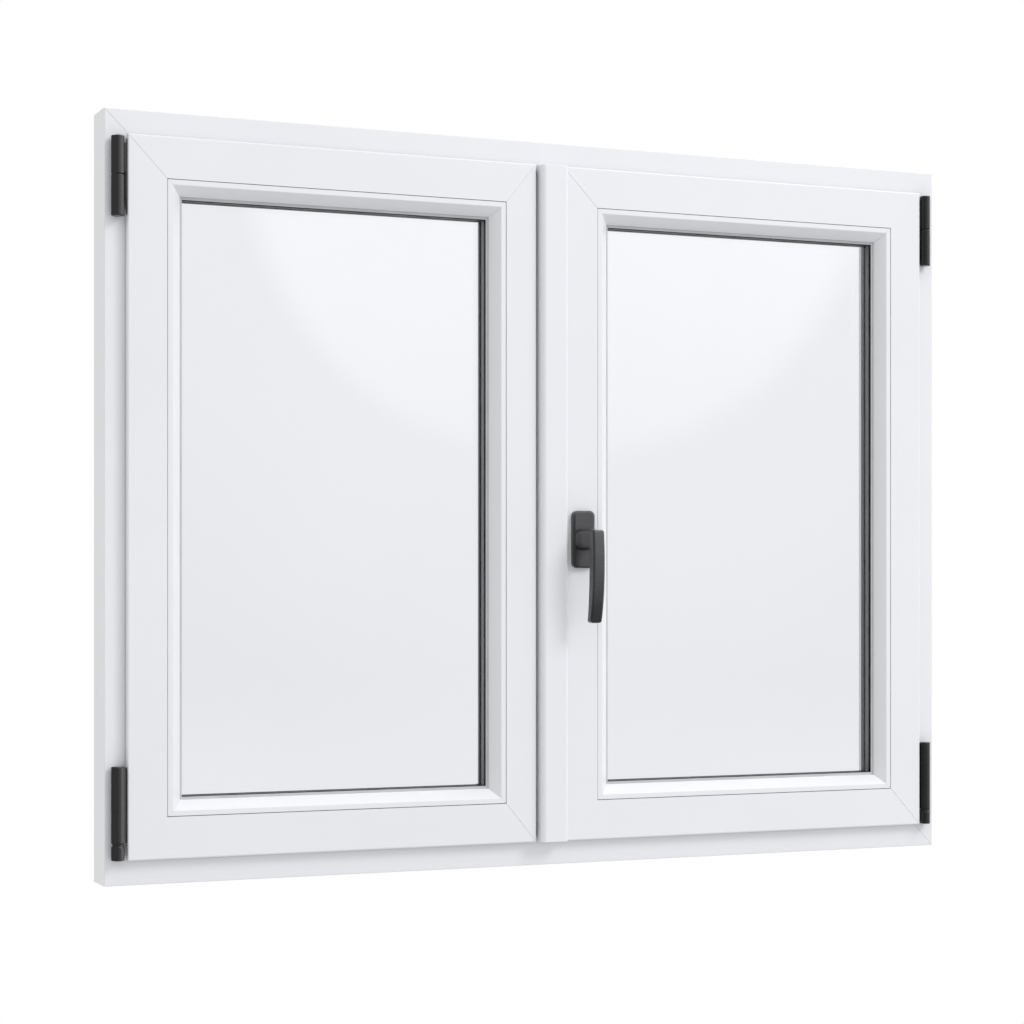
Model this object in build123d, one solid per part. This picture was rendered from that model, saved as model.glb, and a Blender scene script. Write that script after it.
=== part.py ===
from build123d import *
import math
import os

# Two-sash plastic casement window with double glazing, hinges on both outer
# sides, a meeting post on the right sash and one lever handle.
# X to the right seen from the room, Y from the room to the outside, Z up.
# Origin: middle of the frame's bottom face. Lengths in millimetres.
# Depths are given as v, measured from the frame's room-side face outwards.

# ---- driving dimensions -------------------------------------------------
W, H, T = 1500.0, 1200.0, 70.0        # frame width, height, depth
FRAME_FACE = 48.0                     # frame face width seen from the room
STOP_FACE = 66.0                      # frame width at the outer stop
STOP_V = 56.0                         # where the outer stop starts
EDGE_R = 1.5                          # rounding of frame edges
SEAM_W, SEAM_D = 1.1, 0.95            # weld seam at two of the corners, width and depth
FINE_W, FINE_D = 0.7, 0.15            # and at the two dressed nearly flush

SASH_FRONT, LIP_REAR = -16.0, -5.0    # overlapping lip of the sash
BODY_REAR = 51.0                      # outer face of the sash
LIP_L, LIP_R_X = -717.0, 714.0        # outer lip edges of the two sashes, X
LIP_TB = 39.7                         # lip edge, in from the frame's top and bottom
BODY_IN = 60.0                        # sash body edge, in from the frame edge
BEAD_L, BEAD_R, BEAD_TB = 95.2, 96.0, 105.1   # bead groove, in from the frame edge
L_LIP, L_BODY, L_BEAD = -29.8, -36.0, -83.5   # left meeting stile, X
R_LIP, R_BODY, R_BEAD = 18.0, 47.0, 81.3      # right meeting stile, X
LEG_V = 34.4                          # room-side face of the outer glazing leg
LEG_W = 26.8                          # outer leg width past the groove
LIP_R = 2.5                           # rounding of the lip's front edge

BEAD_W = 24.3                         # bead width
BEAD_RIM = 9.2                        # flat rim of the bead
BEAD_FRONT_V = -15.6                  # rim, a little behind the sash face
BEAD_NOSE_V = 1.0                     # depth where the bevel ends
BEAD_END_V = 4.0                      # depth where the bead meets its gasket
BEAD_BULGE = 0.5                      # bevel, out of flat
BEAD_GAP = 0.9                        # shadow line between sash and bead
BEAD_BACK_V = 5.0

PANE, CAVITY = 4.0, 16.0              # glass thickness, gas gap
PANE_V = 5.4                          # room-side face of the inner pane
PANE_IN = 5.0                         # glass edge, in from the groove
GASKET_W = 28.6                       # gasket lip, in from the groove
SPACER_IN, SPACER_OUT = 29.2, 19.0    # spacer bar, in from the groove
TONGUE_V = 38.5                       # how far the outer gasket wraps the leg

POST_L, POST_R = -24.7, 21.5          # cover strip of the meeting post, X
POST_FRONT = -31.0
POST_BOT, POST_TOP = 40.0, 1158.6
POST_RL, POST_RR = 7.5, 5.0           # rounding of the strip's two edges
POST_END_R = 1.0                      # rounding of the strip's ends
WEB_BACK = 4.0                        # web of the post, behind the strip's edge

HINGE_XL, HINGE_XR = -731.7, 728.2    # hinge axes, X
HINGE_V, HINGE_R = -12.0, 10.2
HINGE_END_R = 1.5
FACET_A, FACET_D = 38.0, 7.7           # flat on a knuckle's outer front side, angle and distance
COLLAR_R = 8.8                        # collar between the lower cap and its cover
TOP_Z0, TOP_ZM, TOP_Z1 = 1032.5, 1096.0, 1156.0
BOT_Z0, BOT_Z1 = 66.5, 185.0
CAP_Z0, CAP_Z1 = 40.5, 62.6
PIN_R = 4.0

HANDLE_X, HANDLE_Z = 52.0, 540.5
ROSE_W, ROSE_H, ROSE_T = 39.6, 95.0, 11.0
ROSE_SHIFT = 0.8                      # rosette's middle, right of the lever's axis
LEVER_END_R = 6.5                     # rounding of the lever's ends seen from the front


# ---- helpers -----------------------------------------------------------
def Y(v):
    return v - T / 2


def prism(points, v0, v1):
    """Polygon of (x, z) points, from depth v0 to v1."""
    area = sum(a[0] * b[1] - b[0] * a[1] for a, b in zip(points, points[1:] + points[:1]))
    if area < 0:
        points = points[::-1]
    pl = Plane(origin=(0, Y(v1), 0), x_dir=(1, 0, 0), z_dir=(0, -1, 0))
    return extrude(pl * Polygon(*points, align=None), amount=v1 - v0)


def rect(x0, x1, z0, z1):
    return [(x0, z0), (x1, z0), (x1, z1), (x0, z1)]


def slab(r, v0, v1):
    return prism(rect(*r), v0, v1)


def shrink(r, d):
    return (r[0] + d, r[1] - d, r[2] + d, r[3] - d)


def ring(outer, inner, v0, v1):
    return slab(outer, v0, v1) - slab(inner, v0 - 1, v1 + 1)


def bar(x0, x1, v0, v1, z0, z1):
    return slab((x0, x1, z0, z1), v0, v1)


def rod(x, v, r, z0, z1):
    return Pos(x, Y(v), z0) * Cylinder(
        r, z1 - z0, align=(Align.CENTER, Align.CENTER, Align.MIN))


def lerp(a, b, t):
    return (a[0] + (b[0] - a[0]) * t, a[1] + (b[1] - a[1]) * t)


def mitre_sectors(outer, inner, t0=-0.6, t1=1.8):
    """Four (x, z) quadrilaterals that part a rectangular ring at its corners."""
    oc = {"bl": (outer[0], outer[2]), "br": (outer[1], outer[2]),
          "tr": (outer[1], outer[3]), "tl": (outer[0], outer[3])}
    ic = {"bl": (inner[0], inner[2]), "br": (inner[1], inner[2]),
          "tr": (inner[1], inner[3]), "tl": (inner[0], inner[3])}
    o = {k: lerp(oc[k], ic[k], t0) for k in oc}
    i = {k: lerp(oc[k], ic[k], t1) for k in oc}
    return {"top": [o["tl"], o["tr"], i["tr"], i["tl"]],
            "bottom": [o["bl"], o["br"], i["br"], i["bl"]],
            "left": [o["bl"], o["tl"], i["tl"], i["bl"]],
            "right": [o["br"], o["tr"], i["tr"], i["br"]]}


def front_edges(solid, v, box):
    """Edges of the solid in the plane of depth v that lie on the given rectangle."""
    found = []
    for e in solid.edges():
        c = e.center()
        bb = e.bounding_box()
        if abs(bb.min.Y - Y(v)) > 1e-3 or abs(bb.max.Y - Y(v)) > 1e-3:
            continue
        on_x = min(abs(c.X - box[0]), abs(c.X - box[1])) < 1e-3 and bb.size.X < 1e-3
        on_z = min(abs(c.Z - box[2]), abs(c.Z - box[3])) < 1e-3 and bb.size.Z < 1e-3
        if on_x or on_z:
            found.append(e)
    return found


def seam(a, b, v, out, w=SEAM_W, d=SEAM_D):
    """V-shaped cutter along the line from a to b in the plane of depth v.
    out is -1 for a room-side face, 1 for an outer face."""
    dx, dz = b[0] - a[0], b[1] - a[1]
    n = math.hypot(dx, dz)
    dx, dz = dx / n, dz / n
    pl = Plane(origin=(a[0], Y(v), a[1]), x_dir=(-dz, 0, dx), z_dir=(dx, 0, dz))
    tri = Polygon((-w / 2, -out * 0.05), (w / 2, -out * 0.05), (0, out * d), align=None)
    return Solid.extrude((pl * tri).face(), Vector(dx, 0, dz) * n)


def corners(r):
    return {"bl": (r[0], r[2]), "br": (r[1], r[2]), "tr": (r[1], r[3]), "tl": (r[0], r[3])}


def column(points, z0, z1):
    """Polygon of (x, v) points, from height z0 to z1."""
    pts = [(x, Y(v)) for x, v in points]
    area = sum(a[0] * b[1] - b[0] * a[1] for a, b in zip(pts, pts[1:] + pts[:1]))
    if area < 0:
        pts = pts[::-1]
    return extrude(Pos(0, 0, z0) * Polygon(*pts, align=None), amount=z1 - z0)


SEAM = {"tl": (SEAM_W, SEAM_D), "br": (SEAM_W, SEAM_D), "bl": (FINE_W, FINE_D), "tr": (FINE_W, FINE_D)}
ENDS = {"top": ("tl", "tr"), "bottom": ("bl", "br"), "left": ("bl", "tl"), "right": ("br", "tr")}

PARTS = {}


def add(name, shape):
    PARTS[name] = shape


# ---- outer frame -------------------------------------------------------
frame_out = (-W / 2, W / 2, 0.0, H)
frame_in = shrink(frame_out, FRAME_FACE)
frame_stop = shrink(frame_out, STOP_FACE)
block = slab(frame_out, 0, T)
block = fillet(front_edges(block, 0, frame_out) + front_edges(block, T, frame_out), EDGE_R)
frame_ring = block - slab(frame_in, -1, STOP_V) - slab(frame_stop, STOP_V - 1, T + 1)
# groove for the seal in the stop's room-side face
seal_out, seal_in = shrink(frame_stop, -10.0), shrink(frame_stop, -4.0)
frame_ring = frame_ring - ring(seal_out, seal_in, STOP_V - 1, STOP_V + 4)
frame_cut = mitre_sectors(frame_out, frame_in, -0.3, 1.8)
for side, name in (("top", "frame_head"), ("bottom", "frame_sill"),
                   ("left", "frame_left_jamb"), ("right", "frame_right_jamb")):
    member = frame_ring & prism(frame_cut[side], -5, T + 5)
    for k in ENDS[side]:
        a, b = corners(frame_out)[k], corners(frame_stop)[k]
        member = member - seam(lerp(a, b, -0.05), lerp(a, b, 0.78), 0, -1, *SEAM[k])
        member = member - seam(lerp(a, b, -0.05), lerp(a, b, 1.05), T, 1, *SEAM[k])
    add(name, member)
add("frame_stop_seal", ring(shrink(seal_out, 0.2), shrink(seal_in, -0.2), STOP_V - 0.0, STOP_V + 4))


# ---- glazing bead profile ----------------------------------------------
def bead_face():
    """Bead section in (u, v): u from the groove towards the glass."""
    g, w, f = BEAD_GAP, BEAD_W, BEAD_FRONT_V
    # small rounding between the rim and the bevel
    run, drop = w - BEAD_RIM, BEAD_NOSE_V - f
    n = math.hypot(run, drop)
    du, dv = run / n, drop / n
    r = 1.5
    half = math.atan2(drop, run) / 2
    t = r * math.tan(half)
    a = (BEAD_RIM - t, f)
    b = (BEAD_RIM + t * du, f + t * dv)
    m = (a[0] + r * math.sin(half), a[1] + r - r * math.cos(half))
    e = (w, BEAD_NOSE_V)
    c = ((b[0] + e[0]) / 2 + BEAD_BULGE * dv, (b[1] + e[1]) / 2 - BEAD_BULGE * du)
    with BuildSketch() as s:
        with BuildLine():
            Polyline((g, Y(BEAD_BACK_V)), (g, Y(f + 0.6)), (g + 0.6, Y(f)), (a[0], Y(a[1])))
            ThreePointArc((a[0], Y(a[1])), (m[0], Y(m[1])), (b[0], Y(b[1])))
            ThreePointArc((b[0], Y(b[1])), (c[0], Y(c[1])), (e[0], Y(e[1])))
            Polyline((e[0], Y(e[1])), (w, Y(BEAD_END_V)), (w - 5.2, Y(BEAD_END_V)),
                     (w - 5.2, Y(BEAD_BACK_V)), (g, Y(BEAD_BACK_V)))
        make_face()
    return s.sketch


def gasket_face():
    """Gasket section in (u, v), between the bead and the glass."""
    pts = [(BEAD_W - 5.0, PANE_V), (BEAD_W - 5.0, BEAD_END_V), (BEAD_W, BEAD_END_V),
           (GASKET_W, PANE_V - 0.7), (GASKET_W, PANE_V)]
    with BuildSketch() as s:
        with BuildLine():
            Polyline(*[(u, Y(v)) for u, v in pts + pts[:1]])
        make_face()
    return s.sketch


def side_frames(r):
    """Start point, inward direction, run direction and length for each side."""
    x0, x1, z0, z1 = r
    return {"top": ((x0, 0, z1), (0, 0, -1), (1, 0, 0), x1 - x0),
            "bottom": ((x1, 0, z0), (0, 0, 1), (-1, 0, 0), x1 - x0),
            "left": ((x0, 0, z0), (1, 0, 0), (0, 0, 1), z1 - z0),
            "right": ((x1, 0, z1), (-1, 0, 0), (0, 0, -1), z1 - z0)}


def mitre_run(r, side, width, gap=0.12):
    """45 degree trapezium for one side of the rectangle r, with a hair joint."""
    x0, x1, z0, z1 = r
    g, w = gap, width
    return {"top": [(x0 + g, z1), (x1 - g, z1), (x1 - w - g, z1 - w), (x0 + w + g, z1 - w)],
            "bottom": [(x0 + g, z0), (x1 - g, z0), (x1 - w - g, z0 + w), (x0 + w + g, z0 + w)],
            "left": [(x0, z0 + g), (x0, z1 - g), (x0 + w, z1 - w - g), (x0 + w, z0 + w + g)],
            "right": [(x1, z0 + g), (x1, z1 - g), (x1 - w, z1 - w - g), (x1 - w, z0 + w + g)]}[side]


# ---- sashes --------------------------------------------------------------
def build_sash(tag, lip, body, groove, names):
    leg = shrink(groove, LEG_W)
    sash = slab(lip, SASH_FRONT, LIP_REAR) + slab(body, LIP_REAR - 1, BODY_REAR)
    sash = sash - slab(groove, SASH_FRONT - 5, LEG_V) - slab(leg, LEG_V - 1, BODY_REAR + 1)
    sectors = mitre_sectors(lip, groove)
    welds = dict(SEAM)
    if tag == "left":
        welds["tr"], welds["bl"] = (1.0, 0.7), (0.8, 0.3)
    for side, name in names.items():
        member = sash & prism(sectors[side], SASH_FRONT - 5, BODY_REAR + 5)
        member = fillet(front_edges(member, SASH_FRONT, lip), LIP_R)
        for k in ENDS[side]:
            a, b = corners(lip)[k], corners(groove)[k]
            member = member - seam(lerp(a, b, -0.02), lerp(a, b, 1.02), SASH_FRONT, -1, *welds[k])
            member = member - seam(lerp(a, b, 0.2), lerp(a, b, 1.5), BODY_REAR, 1, *welds[k])
        add(tag + "_sash_" + name, member)
    # beads
    face = bead_face()
    frames = side_frames(groove)
    bead_names = {"top": "top", "bottom": "bottom",
                  "left": "hinge_side" if tag == "left" else "meeting_side",
                  "right": "meeting_side" if tag == "left" else "hinge_side"}
    for side, (o, u, run, length) in frames.items():
        pl = Plane(origin=o, x_dir=u, z_dir=run)
        b = extrude(pl * face, amount=length)
        b = b & prism(mitre_run(groove, side, 40.0), SASH_FRONT - 5, BODY_REAR)
        add(tag + "_bead_" + bead_names[side], b)
    # bead gasket, mitred at the corners and joined into one ring
    gasket = None
    for side, (o, u, run, length) in frames.items():
        pl = Plane(origin=o, x_dir=u, z_dir=run)
        g = extrude(pl * gasket_face(), amount=length)
        g = g & prism(mitre_run(groove, side, 40.0, 0.0), SASH_FRONT - 5, BODY_REAR)
        gasket = g if gasket is None else gasket + g
    add(tag + "_bead_gasket", gasket)
    # glass, spacer bar, outer gasket
    glass = shrink(groove, PANE_IN)
    rear_v = PANE_V + PANE + CAVITY
    panes = [slab(glass, PANE_V, PANE_V + PANE), slab(glass, rear_v, rear_v + PANE)]
    add(tag + "_glass_panes", Compound(children=[p.solid() for p in panes]))
    add(tag + "_glass_spacer", ring(shrink(groove, SPACER_OUT), shrink(groove, SPACER_IN),
                                    PANE_V + PANE, rear_v))
    pad = ring(shrink(groove, 13.0), shrink(groove, SPACER_IN), rear_v + PANE, LEG_V)
    tongue = ring(shrink(groove, LEG_W), shrink(groove, SPACER_IN), LEG_V - 1, TONGUE_V)
    add(tag + "_outer_gasket", pad + tongue)


left_lip = (LIP_L, L_LIP, LIP_TB, H - LIP_TB)
left_body = (-W / 2 + BODY_IN, L_BODY, BODY_IN, H - BODY_IN)
left_groove = (-W / 2 + BEAD_L, L_BEAD, BEAD_TB, H - BEAD_TB)
build_sash("left", left_lip, left_body, left_groove,
           {"top": "top_rail", "bottom": "bottom_rail",
            "left": "hinge_stile", "right": "meeting_stile"})
right_lip = (R_LIP, LIP_R_X, LIP_TB, H - LIP_TB)
right_body = (R_BODY, W / 2 - BODY_IN, BODY_IN, H - BODY_IN)
right_groove = (R_BEAD, W / 2 - BEAD_R, BEAD_TB, H - BEAD_TB)
build_sash("right", right_lip, right_body, right_groove,
           {"top": "top_rail", "bottom": "bottom_rail",
            "left": "meeting_stile", "right": "hinge_stile"})

# ---- meeting post on the right sash -----------------------------------------
# cover strip section in (x, v), rounded on both front edges
with BuildSketch() as strip:
    with BuildLine():
        f, r1, r2 = POST_FRONT, POST_RL, POST_RR
        k = 0.29289
        Polyline((POST_R, Y(SASH_FRONT)), (POST_L, Y(SASH_FRONT)), (POST_L, Y(f + r1)))
        ThreePointArc((POST_L, Y(f + r1)), (POST_L + r1 * k, Y(f + r1 * k)), (POST_L + r1, Y(f)))
        Line((POST_L + r1, Y(f)), (POST_R - r2, Y(f)))
        ThreePointArc((POST_R - r2, Y(f)), (POST_R - r2 * k, Y(f + r2 * k)), (POST_R, Y(f + r2)))
        Line((POST_R, Y(f + r2)), (POST_R, Y(SASH_FRONT)))
    make_face()
cover = extrude(Pos(0, 0, POST_BOT) * strip.sketch, amount=POST_TOP - POST_BOT)
ends = []
for e in cover.edges():
    bb = e.bounding_box()
    if bb.size.Z < 1e-3 and bb.min.Y < Y(SASH_FRONT) - 1e-3:
        ends.append(e)
cover = fillet(ends, POST_END_R)
neck = bar(POST_L, R_LIP, SASH_FRONT, LIP_REAR, LIP_TB, H - LIP_TB)
web = bar(POST_L + WEB_BACK, R_BODY, LIP_REAR, BODY_REAR, BODY_IN, H - BODY_IN)
add("meeting_post", cover + neck + web)
add("meeting_post_seal", bar(POST_L + WEB_BACK - 3.0, POST_L + WEB_BACK, 20.0, 26.0,
                             BODY_IN + 2, H - BODY_IN - 2))

# ---- hinges ---------------------------------------------------------------
def flat_of(hx, d):
    """Section of the cut that leaves a flat on the outer front side of a knuckle."""
    n = (-d * math.cos(math.radians(FACET_A)), -math.sin(math.radians(FACET_A)))
    t = (-n[1], n[0])
    return [(hx + FACET_D * n[0] + 12 * t[0] * i + 6 * n[0] * j,
             HINGE_V + FACET_D * n[1] + 12 * t[1] * i + 6 * n[1] * j)
            for i, j in ((-1, 0), (1, 0), (1, 1), (-1, 1))]


pins = []
for tag, hx, lip_x in (("left", HINGE_XL, LIP_L), ("right", HINGE_XR, LIP_R_X)):
    d = 1.0 if lip_x > hx else -1.0          # from the hinge towards the sash

    def knuckle(z0, z1):
        k = rod(hx, HINGE_V, HINGE_R, z0, z1)
        k = fillet(k.edges().filter_by(GeomType.CIRCLE), HINGE_END_R)
        return k - column(flat_of(hx, d), z0 - 1, z1 + 1)

    # thin arm behind the cover, to the lip edge
    arm = [(hx, -12.5), (lip_x, -12.5), (lip_x, -6.5), (hx, -6.5)]
    # lens-shaped flange on the lip edge, beside both halves of the upper hinge
    zs = (TOP_Z0 + 3, TOP_Z0 + 30, TOP_Z1 - 30, TOP_Z1 - 3)
    lens = prism([(lip_x, zs[0]), (lip_x - d * 2.8, zs[1]), (lip_x - d * 2.8, zs[2]), (lip_x, zs[3])],
                 -12.5, -6.5)
    # cover that runs out into a flange beside the lip
    flange = [(hx + d * 1.0, HINGE_V - HINGE_R + 0.2), (hx + d * 7.5, -19.4), (lip_x - d * 3.2, -15.5),
              (lip_x - d * 3.2, -10.5), (lip_x, -10.5), (lip_x, -6.5), (hx, -6.5)]
    # foot from a fixed knuckle to the frame face
    foot = [(hx - d * 7.0, HINGE_V), (hx + d * 4.0, HINGE_V), (hx + d * 4.0, 0.0), (hx - d * 7.0, 0.0)]
    pin_top = (TOP_ZM - 25.0, TOP_ZM + 25.0)
    pin_bot = (CAP_Z1 - 12.0, BOT_Z0 + 25.0)
    upper = knuckle(TOP_ZM + 0.5, TOP_Z1) + column(arm, TOP_ZM + 6, TOP_Z1 - 10) + lens
    upper = upper - rod(hx, HINGE_V, PIN_R + 0.4, TOP_ZM, pin_top[1] + 0.5)
    add(tag + "_top_hinge_sash_half", upper)
    lower = knuckle(TOP_Z0, TOP_ZM) + column(foot, TOP_Z0 + 2, TOP_ZM - 2)
    lower = lower - rod(hx, HINGE_V, PIN_R, pin_top[0], TOP_ZM + 1)
    add(tag + "_top_hinge_frame_half", lower)
    cover_b = knuckle(BOT_Z0, BOT_Z1) + column(flange, BOT_Z0 + 1.5, BOT_Z1 - 1.5)
    cover_b = cover_b - rod(hx, HINGE_V, PIN_R + 0.4, BOT_Z0 - 1, pin_bot[1] + 0.5)
    add(tag + "_bottom_hinge_sash_half", cover_b)
    cap = knuckle(CAP_Z0, CAP_Z1) + column(foot, CAP_Z0 + 2, CAP_Z1 - 2)
    cap = cap + rod(hx, HINGE_V, COLLAR_R, CAP_Z1 - 3, BOT_Z0 - 0.6) - column(flat_of(hx, d), CAP_Z0, BOT_Z0)
    cap = cap - rod(hx, HINGE_V, PIN_R, pin_bot[0], BOT_Z0 + 1)
    add(tag + "_bottom_hinge_frame_half", cap)
    pins.append(rod(hx, HINGE_V, PIN_R, pin_top[0], pin_top[1]))
    pins.append(rod(hx, HINGE_V, PIN_R, pin_bot[0], pin_bot[1]))
add("hinge_pins", Compound(children=[p.solid() for p in pins]))

# ---- handle -----------------------------------------------------------------
rose_pl = Plane(origin=(HANDLE_X + ROSE_SHIFT, Y(SASH_FRONT), HANDLE_Z), x_dir=(1, 0, 0), z_dir=(0, -1, 0))
rose = extrude(rose_pl * RectangleRounded(ROSE_W, ROSE_H, 9.0), amount=ROSE_T)
top_face = rose.faces().sort_by(Axis.Y)[0]
rose = chamfer(top_face.edges(), 3.0)
add("handle_rosette", rose)

ROSE_FRONT = SASH_FRONT - ROSE_T
neck_secs = []
for v, w, h, r in ((ROSE_FRONT - 0.4, 33.0, 36.0, 12.0), (ROSE_FRONT - 16.0, 30.0, 35.0, 12.0),
                   (-64.0, 20.0, 31.0, 7.0), (-70.0, 17.0, 29.0, 5.0)):
    pl = Plane(origin=(HANDLE_X, Y(v), HANDLE_Z), x_dir=(1, 0, 0), z_dir=(0, -1, 0))
    neck_secs.append(pl * RectangleRounded(w, h, r))
handle_neck = loft(neck_secs)
grip_secs = []
for z, v, w, t in ((402.0, -66.6, 21.4, 14.2), (432.0, -72.8, 21.3, 17.2), (466.0, -76.2, 21.2, 19.0),
                   (500.0, -77.4, 21.2, 19.2), (530.0, -76.8, 21.0, 18.8), (555.0, -74.8, 20.8, 18.0)):
    pl = Plane(origin=(HANDLE_X, Y(v), z), x_dir=(1, 0, 0), z_dir=(0, 0, 1))
    grip_secs.append(pl * RectangleRounded(w, t, 3.4))
grip = loft(grip_secs)
grip_ends = grip.faces().sort_by(Axis.Z)
grip = fillet(grip_ends[0].edges() + grip_ends[-1].edges(), 2.6)
# round the ends as seen from the front
tall_pl = Plane(origin=(HANDLE_X, Y(-40.0), 478.5), x_dir=(1, 0, 0), z_dir=(0, -1, 0))
grip = grip & extrude(tall_pl * RectangleRounded(21.3, 153.0, LEVER_END_R), amount=60.0)
add("handle_lever", grip + handle_neck)

# ---- lip seals ------------------------------------------------------------
# on the hinge side, top and bottom of each sash, flush with the lip's rear face
for tag, lip, s in (("left", left_lip, -1), ("right", right_lip, 1)):
    x_out = lip[0] if s < 0 else lip[1]
    x_end = (L_BODY - 2.0) if s < 0 else (R_BODY + 2.0)
    xs = (x_out - s * 10.0, x_out - s * 4.0)
    a, b = min(xs), max(xs)
    stile = bar(a, b, LIP_REAR - 4, LIP_REAR, lip[2] + 4, lip[3] - 4)
    hx0, hx1 = min(x_out - s * 9.9, x_end), max(x_out - s * 9.9, x_end)
    low = bar(hx0, hx1, LIP_REAR - 4, LIP_REAR, lip[2] + 4, lip[2] + 10)
    high = bar(hx0, hx1, LIP_REAR - 4, LIP_REAR, lip[3] - 10, lip[3] - 4)
    seal = stile + low + high
    add(tag + "_lip_seal", seal)
    for n in list(PARTS):
        if n.startswith(tag + "_sash_"):
            PARTS[n] = PARTS[n] - seal

# ---- write ---------------------------------------------------------------------
os.makedirs("parts", exist_ok=True)
for name, shape in PARTS.items():
    export_step(shape, "parts/" + name + ".step")
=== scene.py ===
import math

import bpy
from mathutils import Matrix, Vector

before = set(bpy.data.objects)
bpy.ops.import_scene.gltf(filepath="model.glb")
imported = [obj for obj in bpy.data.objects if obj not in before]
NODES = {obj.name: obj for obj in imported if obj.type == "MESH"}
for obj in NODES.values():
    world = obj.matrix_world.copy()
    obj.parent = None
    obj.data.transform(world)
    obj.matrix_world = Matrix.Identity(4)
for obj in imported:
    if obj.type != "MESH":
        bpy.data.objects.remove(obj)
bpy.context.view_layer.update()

SPACER_MID = -0.0176          # middle of the gap between the panes, along Y


# ---------------------------------------------------------------- node helpers
def new_mat(name):
    m = bpy.data.materials.new(name)
    m.use_nodes = True
    nt = m.node_tree
    nt.nodes.clear()
    out = nt.nodes.new("ShaderNodeOutputMaterial")
    b = nt.nodes.new("ShaderNodeBsdfPrincipled")
    nt.links.new(b.outputs[0], out.inputs[0])
    return m, nt, b


def coords(nt, scale=(1.0, 1.0, 1.0)):
    tc = nt.nodes.new("ShaderNodeTexCoord")
    mp = nt.nodes.new("ShaderNodeMapping")
    mp.inputs["Scale"].default_value = scale
    nt.links.new(tc.outputs["Object"], mp.inputs["Vector"])
    return mp.outputs["Vector"]


def noise(nt, vec, scale, detail=3.0, rough=0.5):
    n = nt.nodes.new("ShaderNodeTexNoise")
    n.inputs["Scale"].default_value = scale
    n.inputs["Detail"].default_value = detail
    n.inputs["Roughness"].default_value = rough
    nt.links.new(vec, n.inputs["Vector"])
    return n.outputs["Fac"]


def remap(nt, fac, lo, hi, a=0.3, b=0.7):
    r = nt.nodes.new("ShaderNodeMapRange")
    r.inputs["From Min"].default_value = a
    r.inputs["From Max"].default_value = b
    r.inputs["To Min"].default_value = lo
    r.inputs["To Max"].default_value = hi
    nt.links.new(fac, r.inputs["Value"])
    return r.outputs["Result"]


def ramp(nt, fac, stops):
    r = nt.nodes.new("ShaderNodeValToRGB")
    el = r.color_ramp.elements
    el[0].position, el[0].color = stops[0][0], (*stops[0][1], 1)
    el[1].position, el[1].color = stops[-1][0], (*stops[-1][1], 1)
    for p, c in stops[1:-1]:
        e = el.new(p)
        e.color = (*c, 1)
    nt.links.new(fac, r.inputs["Fac"])
    return r.outputs["Color"]


def bump(nt, height, strength, distance, after=None):
    b = nt.nodes.new("ShaderNodeBump")
    b.inputs["Strength"].default_value = strength
    b.inputs["Distance"].default_value = distance
    nt.links.new(height, b.inputs["Height"])
    if after is not None:
        nt.links.new(after, b.inputs["Normal"])
    return b.outputs["Normal"]


# ------------------------------------------------------------------- materials
def pvc(name, along):
    """Extruded white plastic. Faint draw lines run along the profile."""
    m, nt, b = new_mat(name)
    streak = {"x": (2.0, 260.0, 260.0), "z": (260.0, 260.0, 2.0)}[along]
    base = coords(nt)
    draw = noise(nt, coords(nt, streak), 1.0, 2.0)
    cloud = noise(nt, base, 5.0, 3.0)
    peel = noise(nt, base, 900.0, 2.0)
    nt.links.new(ramp(nt, cloud, [(0.3, (0.848, 0.856, 0.890)), (0.7, (0.864, 0.872, 0.906))]),
                 b.inputs["Base Color"])
    nt.links.new(remap(nt, draw, 0.29, 0.33), b.inputs["Roughness"])
    n1 = bump(nt, peel, 0.02, 0.0002)
    nt.links.new(bump(nt, draw, 0.006, 0.0003, n1), b.inputs["Normal"])
    b.inputs["Specular IOR Level"].default_value = 0.45
    return m


def coat(name, dark, light, rough, grain, shine):
    """Satin powder coat or moulded dark plastic with a fine grain."""
    m, nt, b = new_mat(name)
    base = coords(nt)
    cloud = noise(nt, base, 40.0, 3.0)
    fine = noise(nt, base, grain, 3.0)
    nt.links.new(ramp(nt, cloud, [(0.3, dark), (0.7, light)]), b.inputs["Base Color"])
    nt.links.new(remap(nt, fine, rough - 0.05, rough + 0.06), b.inputs["Roughness"])
    nt.links.new(bump(nt, fine, 0.12, 0.0002), b.inputs["Normal"])
    b.inputs["Specular IOR Level"].default_value = shine
    return m


def rubber(name, dark, light):
    m, nt, b = new_mat(name)
    base = coords(nt)
    cloud = noise(nt, base, 30.0, 3.0)
    fine = noise(nt, base, 1500.0, 2.0)
    nt.links.new(ramp(nt, cloud, [(0.3, dark), (0.7, light)]), b.inputs["Base Color"])
    nt.links.new(remap(nt, cloud, 0.55, 0.7), b.inputs["Roughness"])
    nt.links.new(bump(nt, fine, 0.15, 0.0002), b.inputs["Normal"])
    return m


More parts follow.
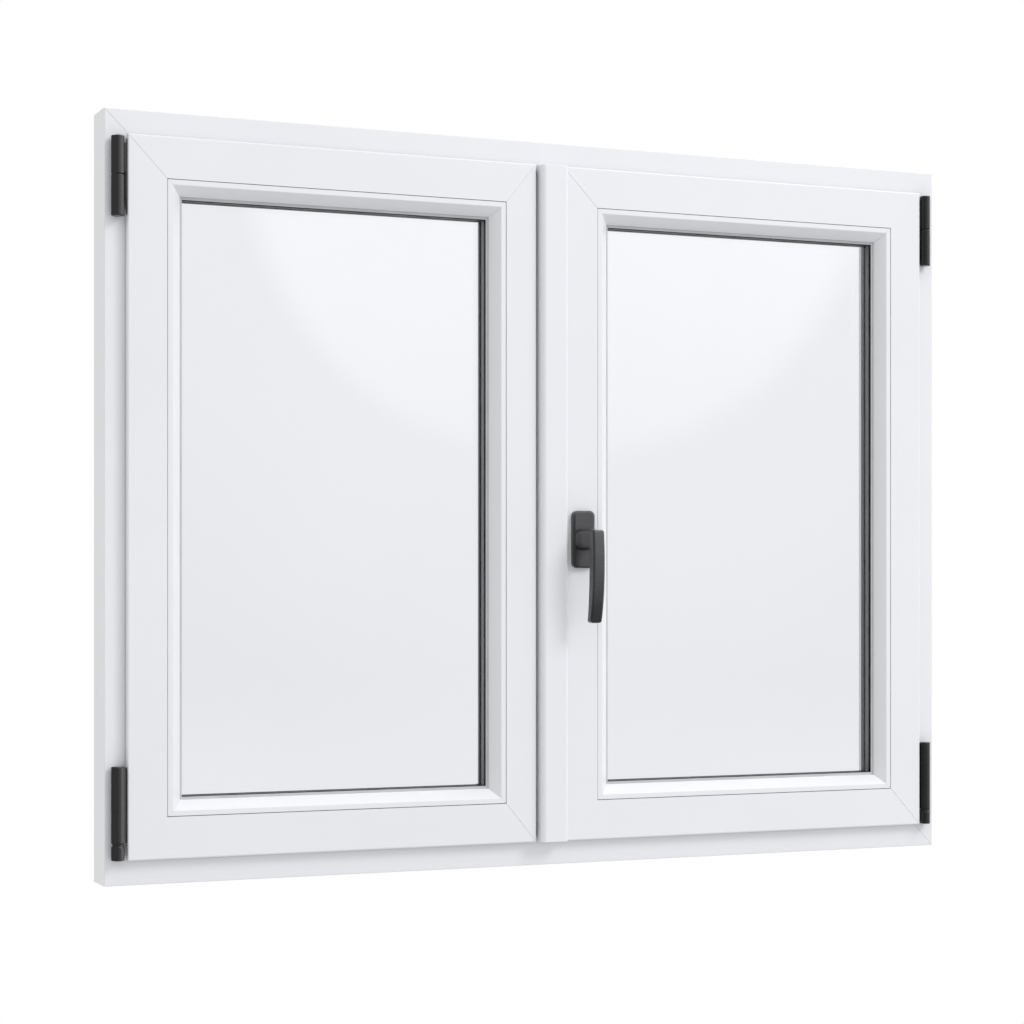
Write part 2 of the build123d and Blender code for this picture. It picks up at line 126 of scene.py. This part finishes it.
def glass(name):
    """Clear float glass. Lamp rays pass straight through to what is behind it."""
    m, nt, b = new_mat(name)
    base = coords(nt)
    film = noise(nt, base, 2.5, 4.0, 0.6)
    nt.links.new(ramp(nt, film, [(0.3, (0.958, 0.968, 0.982)), (0.7, (0.964, 0.974, 0.988))]),
                 b.inputs["Base Color"])
    nt.links.new(remap(nt, film, 0.0, 0.008), b.inputs["Roughness"])
    b.inputs["Transmission Weight"].default_value = 1.0
    # the sealed rim of the unit mirrors less than the clear pane
    tc = nt.nodes.new("ShaderNodeTexCoord")
    sep = nt.nodes.new("ShaderNodeSeparateXYZ")
    nt.links.new(tc.outputs["Generated"], sep.inputs[0])
    mid = nt.nodes.new("ShaderNodeMath")
    mid.operation = "SUBTRACT"
    nt.links.new(sep.outputs["Z"], mid.inputs[0])
    mid.inputs[1].default_value = 0.5
    rise = nt.nodes.new("ShaderNodeMath")
    rise.operation = "ABSOLUTE"
    nt.links.new(mid.outputs[0], rise.inputs[0])
    low = nt.nodes.new("ShaderNodeMath")
    low.operation = "MINIMUM"
    nt.links.new(remap(nt, rise.outputs[0], 1.5, 1.12, 0.4694, 0.4719), low.inputs[0])
    nt.links.new(remap(nt, sep.outputs["X"], 1.5, 1.12, 0.9306, 0.9360), low.inputs[1])
    nt.links.new(low.outputs[0], b.inputs["IOR"])
    lp = nt.nodes.new("ShaderNodeLightPath")
    tr = nt.nodes.new("ShaderNodeBsdfTransparent")
    tr.inputs["Color"].default_value = (0.95, 0.955, 0.957, 1)
    mix = nt.nodes.new("ShaderNodeMixShader")
    out = next(n for n in nt.nodes if n.type == "OUTPUT_MATERIAL")
    nt.links.new(lp.outputs["Is Shadow Ray"], mix.inputs[0])
    nt.links.new(b.outputs[0], mix.inputs[1])
    nt.links.new(tr.outputs[0], mix.inputs[2])
    nt.links.new(mix.outputs[0], out.inputs[0])
    return m


def spacer(name):
    """Grey spacer bar, black in a seal strip against each pane; its horizontal bars are painted black as shade."""
    m, nt, b = new_mat(name)
    tc = nt.nodes.new("ShaderNodeTexCoord")
    sep = nt.nodes.new("ShaderNodeSeparateXYZ")
    nt.links.new(tc.outputs["Object"], sep.inputs[0])
    depth = nt.nodes.new("ShaderNodeMath")
    depth.operation = "SUBTRACT"
    nt.links.new(sep.outputs["Y"], depth.inputs[0])
    depth.inputs[1].default_value = SPACER_MID
    off = nt.nodes.new("ShaderNodeMath")
    off.operation = "ABSOLUTE"
    nt.links.new(depth.outputs[0], off.inputs[0])
    edge = remap(nt, off.outputs[0], 0.0, 1.0, 0.0047, 0.0053)
    # painted shade: bars whose normal points up or down get the black colour, standing in for shade
    face = nt.nodes.new("ShaderNodeSeparateXYZ")
    nt.links.new(tc.outputs["Normal"], face.inputs[0])
    level_bar_shade = nt.nodes.new("ShaderNodeMath")
    level_bar_shade.operation = "ABSOLUTE"
    nt.links.new(face.outputs["Z"], level_bar_shade.inputs[0])
    seal_and_shade_mask = nt.nodes.new("ShaderNodeMath")
    seal_and_shade_mask.operation = "MAXIMUM"
    nt.links.new(edge, seal_and_shade_mask.inputs[0])
    nt.links.new(remap(nt, level_bar_shade.outputs[0], 0.0, 1.0, 0.4, 0.6), seal_and_shade_mask.inputs[1])
    seal_and_shade_fac = seal_and_shade_mask.outputs[0]
    cloud = noise(nt, tc.outputs["Object"], 60.0, 3.0)
    fine = noise(nt, tc.outputs["Object"], 1500.0, 2.0)
    body = ramp(nt, cloud, [(0.3, (0.232, 0.240, 0.252)), (0.7, (0.262, 0.270, 0.282))])
    # this black is the seal against each pane and also the painted shade on the horizontal bars
    seal = ramp(nt, cloud, [(0.3, (0.006, 0.006, 0.007)), (0.7, (0.010, 0.010, 0.011))])
    mix = nt.nodes.new("ShaderNodeMix")
    mix.data_type = "RGBA"
    nt.links.new(seal_and_shade_fac, mix.inputs[0])
    nt.links.new(body, mix.inputs[6])
    nt.links.new(seal, mix.inputs[7])
    nt.links.new(mix.outputs[2], b.inputs["Base Color"])
    nt.links.new(remap(nt, cloud, 0.42, 0.55), b.inputs["Roughness"])
    nt.links.new(bump(nt, fine, 0.1, 0.0002), b.inputs["Normal"])
    return m


def steel(name):
    m, nt, b = new_mat(name)
    turn = noise(nt, coords(nt, (60.0, 60.0, 3000.0)), 1.0, 2.0)
    nt.links.new(ramp(nt, turn, [(0.3, (0.50, 0.50, 0.51)), (0.7, (0.66, 0.66, 0.67))]),
                 b.inputs["Base Color"])
    nt.links.new(remap(nt, turn, 0.18, 0.32), b.inputs["Roughness"])
    nt.links.new(bump(nt, turn, 0.1, 0.0001), b.inputs["Normal"])
    b.inputs["Metallic"].default_value = 1.0
    return m


PVC_X = pvc("pvc_along_x", "x")
PVC_Z = pvc("pvc_along_z", "z")
HINGE = coat("hinge_cover_black", (0.0085, 0.0088, 0.0098), (0.012, 0.0124, 0.0135), 0.29, 1400.0, 0.60)
HANDLE = coat("handle_dark_grey", (0.023, 0.0235, 0.0275), (0.031, 0.0315, 0.036), 0.29, 1800.0, 0.80)
SEAL = rubber("seal_black", (0.010, 0.010, 0.011), (0.020, 0.020, 0.022))
GASKET = rubber("bead_gasket_grey", (0.50, 0.51, 0.53), (0.57, 0.58, 0.60))
OUTER = rubber("outer_gasket_grey", (0.036, 0.038, 0.041), (0.050, 0.052, 0.056))
SPACER = spacer("spacer_grey")
GLASS = glass("clear_glass")
STEEL = steel("pin_steel_bright")


def pick(n):
    if n.endswith("_half"):
        return HINGE
    if n == "hinge_pins":
        return STEEL
    if n.startswith("handle"):
        return HANDLE
    if "panes" in n:
        return GLASS
    if "spacer" in n:
        return SPACER
    if "outer_gasket" in n:
        return OUTER
    if "bead_gasket" in n:
        return GASKET
    if "seal" in n or "gasket" in n:
        return SEAL
    if n.endswith(("jamb", "stile", "side", "post")):
        return PVC_Z
    return PVC_X


for n, o in NODES.items():
    o.data.materials.clear()
    o.data.materials.append(pick(n))

# ------------------------------------------------------------------------ stage
me = bpy.data.meshes.new("floor")
s = 40.0
me.from_pydata([(-s, -s, -0.0005), (s, -s, -0.0005), (s, s, -0.0005), (-s, s, -0.0005)], [], [(0, 1, 2, 3)])
floor = bpy.data.objects.new("floor", me)
bpy.context.scene.collection.objects.link(floor)
fm = bpy.data.materials.new("pale_floor")
fm.use_nodes = True
nt = fm.node_tree
nt.nodes.clear()
out = nt.nodes.new("ShaderNodeOutputMaterial")
em = nt.nodes.new("ShaderNodeEmission")
em.inputs["Strength"].default_value = 1.0
nt.links.new(em.outputs[0], out.inputs[0])
floor.data.materials.append(fm)
floor.visible_diffuse = False
floor.visible_glossy = False
floor.visible_transmission = False
floor.visible_shadow = False

# ------------------------------------------------------------------------ light
world = bpy.data.worlds.new("studio")
bpy.context.scene.world = world
world.use_nodes = True
nt = world.node_tree
nt.nodes.clear()


def wm(op, a, b=None):
    n = nt.nodes.new("ShaderNodeMath")
    n.operation = op
    for k, v in enumerate((a, b)):
        if v is None:
            continue
        if isinstance(v, (int, float)):
            n.inputs[k].default_value = v
        else:
            nt.links.new(v, n.inputs[k])
    return n.outputs[0]


def wdot(vec, d):
    n = nt.nodes.new("ShaderNodeVectorMath")
    n.operation = "DOT_PRODUCT"
    nt.links.new(vec, n.inputs[0])
    n.inputs[1].default_value = d
    return n.outputs["Value"]


def wstep(v, lo, hi, a, b):
    n = nt.nodes.new("ShaderNodeMapRange")
    n.interpolation_type = "SMOOTHSTEP"
    n.inputs["From Min"].default_value = lo
    n.inputs["From Max"].default_value = hi
    n.inputs["To Min"].default_value = a
    n.inputs["To Max"].default_value = b
    nt.links.new(v, n.inputs["Value"])
    return n.outputs["Result"]


tc = nt.nodes.new("ShaderNodeTexCoord")
d = tc.outputs["Generated"]
# soft dome in front, a little brighter from above and from the right
dome = wm("ADD", wdot(d, (-0.045, -0.05, 0.0)), 0.684)
dome = wm("ADD", dome, wstep(wdot(d, (0, 0, 1)), 0.70, 0.92, 0.0, 0.55))
# round soft lamp that the glass mirrors, fading downwards
AZ, EL = math.radians(24.3), math.radians(10.4)
to_disc = (math.sin(AZ) * math.cos(EL), -math.cos(AZ) * math.cos(EL), math.sin(EL))
disc = wstep(wdot(d, to_disc), math.cos(math.radians(7.9)), math.cos(math.radians(6.8)), 0.0, 1.0)
fade = wstep(wdot(d, (0, 0, 1)), 0.01, 0.15, 0.18, 0.60)
glow = wstep(wdot(d, to_disc), math.cos(math.radians(16.0)), math.cos(math.radians(5.0)), 0.0, 0.36)
dome = wm("ADD", wm("ADD", dome, glow), wm("MULTIPLY", disc, fade))
# wall behind, white, a little darker to the left
wall = wstep(wdot(d, (1, 0, 0)), -0.6, -0.1, 0.74, 0.864)
back = wstep(wdot(d, (0, 1, 0)), -0.05, 0.15, 0.0, 1.0)
# a view straight through a pane sees the pale wall from either side
seen = nt.nodes.new("ShaderNodeLightPath")
straight = wm("LESS_THAN", wm("ADD", seen.outputs["Glossy Depth"], seen.outputs["Diffuse Depth"]), 0.5)
back = wm("MAXIMUM", back, straight)
front = wm("MULTIPLY", dome, wm("SUBTRACT", 1.0, back))
total = wm("ADD", front, wm("MULTIPLY", back, wall))
lp = nt.nodes.new("ShaderNodeLightPath")
# what shiny surfaces mirror: darker to the left and below, brighter above and far right
side = wstep(wdot(d, (1, 0, 0)), -0.70, 0.20, 0.25, 1.0)
under = wstep(wdot(d, (0, 0, 1)), -0.30, -0.09, 0.12, 1.0)
over = wstep(wdot(d, (0, 0, 1)), 0.24, 0.60, 0.0, 0.9)
far = wstep(wdot(d, (1, 0, 0)), 0.60, 0.82, 0.0, 1.3)
pale = wm("ADD", wstep(wdot(d, (0, 0, -1)), 0.03, 0.085, 0.0, 0.2), wstep(wdot(d, (1, 0, 0)), 0.38, 0.55, 0.02, 0.12))
mirror = wm("ADD", wm("MULTIPLY", wm("MULTIPLY", wm("ADD", dome, pale), side), under), wm("ADD", over, far))
mirror = wm("ADD", wm("MULTIPLY", mirror, wm("SUBTRACT", 1.0, back)), wm("MULTIPLY", back, wall))
gloss_mix = nt.nodes.new("ShaderNodeMix")
gloss_mix.data_type = "FLOAT"
nt.links.new(lp.outputs["Is Glossy Ray"], gloss_mix.inputs[0])
nt.links.new(total, gloss_mix.inputs[2])
nt.links.new(mirror, gloss_mix.inputs[3])
total = gloss_mix.outputs[0]
cam_mix = nt.nodes.new("ShaderNodeMix")
cam_mix.data_type = "FLOAT"
nt.links.new(lp.outputs["Is Camera Ray"], cam_mix.inputs[0])
nt.links.new(total, cam_mix.inputs[2])
cam_mix.inputs[3].default_value = 1.0
bg = nt.nodes.new("ShaderNodeBackground")
nt.links.new(cam_mix.outputs[0], bg.inputs["Strength"])
bg.inputs["Color"].default_value = (1, 1, 1, 1)
wo = nt.nodes.new("ShaderNodeOutputWorld")
nt.links.new(bg.outputs[0], wo.inputs[0])

ld = bpy.data.lights.new("key", "AREA")
ld.shape = "DISK"
ld.size = 4.6
ld.energy = 415.0
key = bpy.data.objects.new("key", ld)
bpy.context.scene.collection.objects.link(key)
key.location = (6.2, -7.0, 7.2)
key.rotation_euler = (Vector((0.0, 0.0, 0.6)) - key.location).to_track_quat("-Z", "Y").to_euler()
key.visible_camera = False
key.visible_transmission = False

# ----------------------------------------------------------------------- camera
cd = bpy.data.cameras.new("camera")
cam = bpy.data.objects.new("camera", cd)
bpy.context.scene.collection.objects.link(cam)
cam.location = (-1.613736, -3.647664, 0.464915)
cam.rotation_euler = (math.pi / 2, 0.0, -0.4045004)
cd.sensor_fit = "HORIZONTAL"
cd.sensor_width = 36.0
cd.lens = 2377.967 * 36.0 / 1024.0
cd.shift_x = 0.0
cd.shift_y = (584.8214 - 512.0) / 1024.0
cd.clip_start, cd.clip_end = 0.05, 200.0
bpy.context.scene.camera = cam
bpy.context.scene.view_settings.view_transform = "Standard"
bpy.context.scene.cycles.transparent_max_bounces = 32
bpy.context.scene.cycles.transmission_bounces = 32
bpy.context.scene.cycles.max_bounces = 32
bpy.context.scene.cycles.diffuse_bounces = 3
